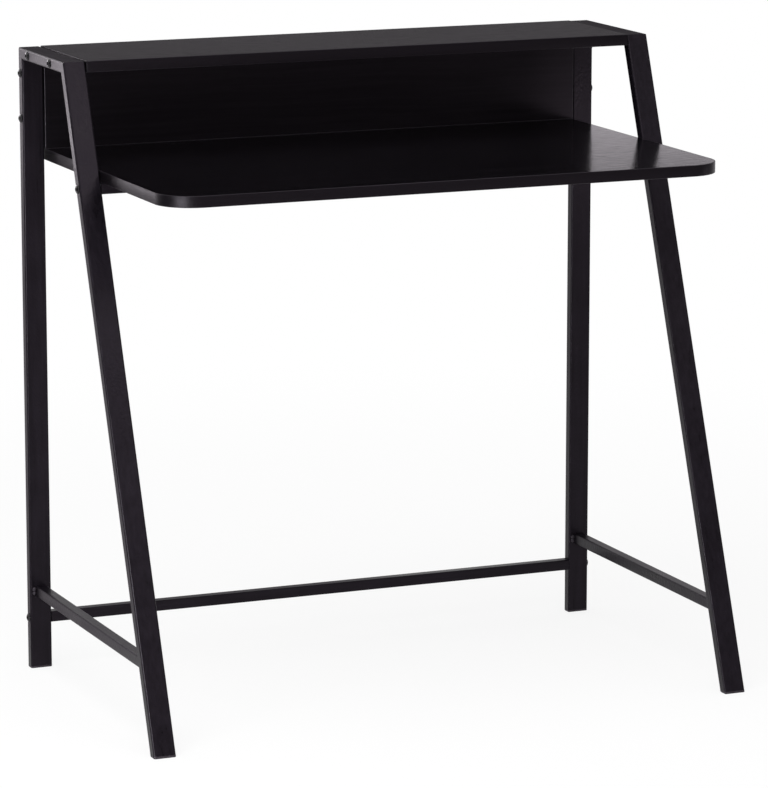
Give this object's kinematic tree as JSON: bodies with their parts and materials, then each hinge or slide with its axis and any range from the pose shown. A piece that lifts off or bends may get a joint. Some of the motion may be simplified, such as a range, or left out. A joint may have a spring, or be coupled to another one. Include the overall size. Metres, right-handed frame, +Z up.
{
  "type": "computer desk",
  "caption": "Small computer desk with splayed black tube side frames, a deep rounded desktop, a raised narrow shelf and a low back panel between them.",
  "frame": {"origin": "on the floor, under the middle of the footprint of the four feet", "axes": "+X to the user's right as they sit, +Y from the user to the back of the desk, +Z up"},
  "size_m": [0.846, 0.505, 0.851],
  "materials": {
    "frame_paint": "satin black powder coat",
    "board_foil": "black wood grain laminate on particle board",
    "edge_band": "black matt edge band",
    "foot_plastic": "black moulded plastic",
    "bolt_steel": "black coated steel",
    "zinc_steel": "zinc plated steel"
  },
  "bodies": {
    "root": {"left_rear_leg": "frame_paint", "right_rear_leg": "frame_paint", "left_front_leg": "frame_paint", "right_front_leg": "frame_paint", "left_top_rail": "frame_paint", "right_top_rail": "frame_paint", "left_side_stretcher": "frame_paint", "right_side_stretcher": "frame_paint", "rear_stretcher": "frame_paint", "desktop_support_rail": "frame_paint", "desktop_board": "board_foil", "shelf_board": "board_foil", "back_panel": "board_foil", "desktop_edge_band": "edge_band", "shelf_edge_band": "edge_band", "back_panel_edge_band": "edge_band", "left_rear_foot_plug": "foot_plastic", "right_rear_foot_plug": "foot_plastic", "left_front_foot_plug": "foot_plastic", "right_front_foot_plug": "foot_plastic", "shelf_bolts": "bolt_steel", "back_panel_bolts": "bolt_steel", "support_rail_bolts": "bolt_steel", "rear_stretcher_bolts": "bolt_steel", "shelf_nuts": "zinc_steel", "back_panel_nuts": "zinc_steel", "support_rail_end_nuts": "zinc_steel", "rear_stretcher_end_nuts": "zinc_steel", "desktop_rail_screws": "zinc_steel", "panel_base_screws": "zinc_steel"}
  },
  "joints": []
}
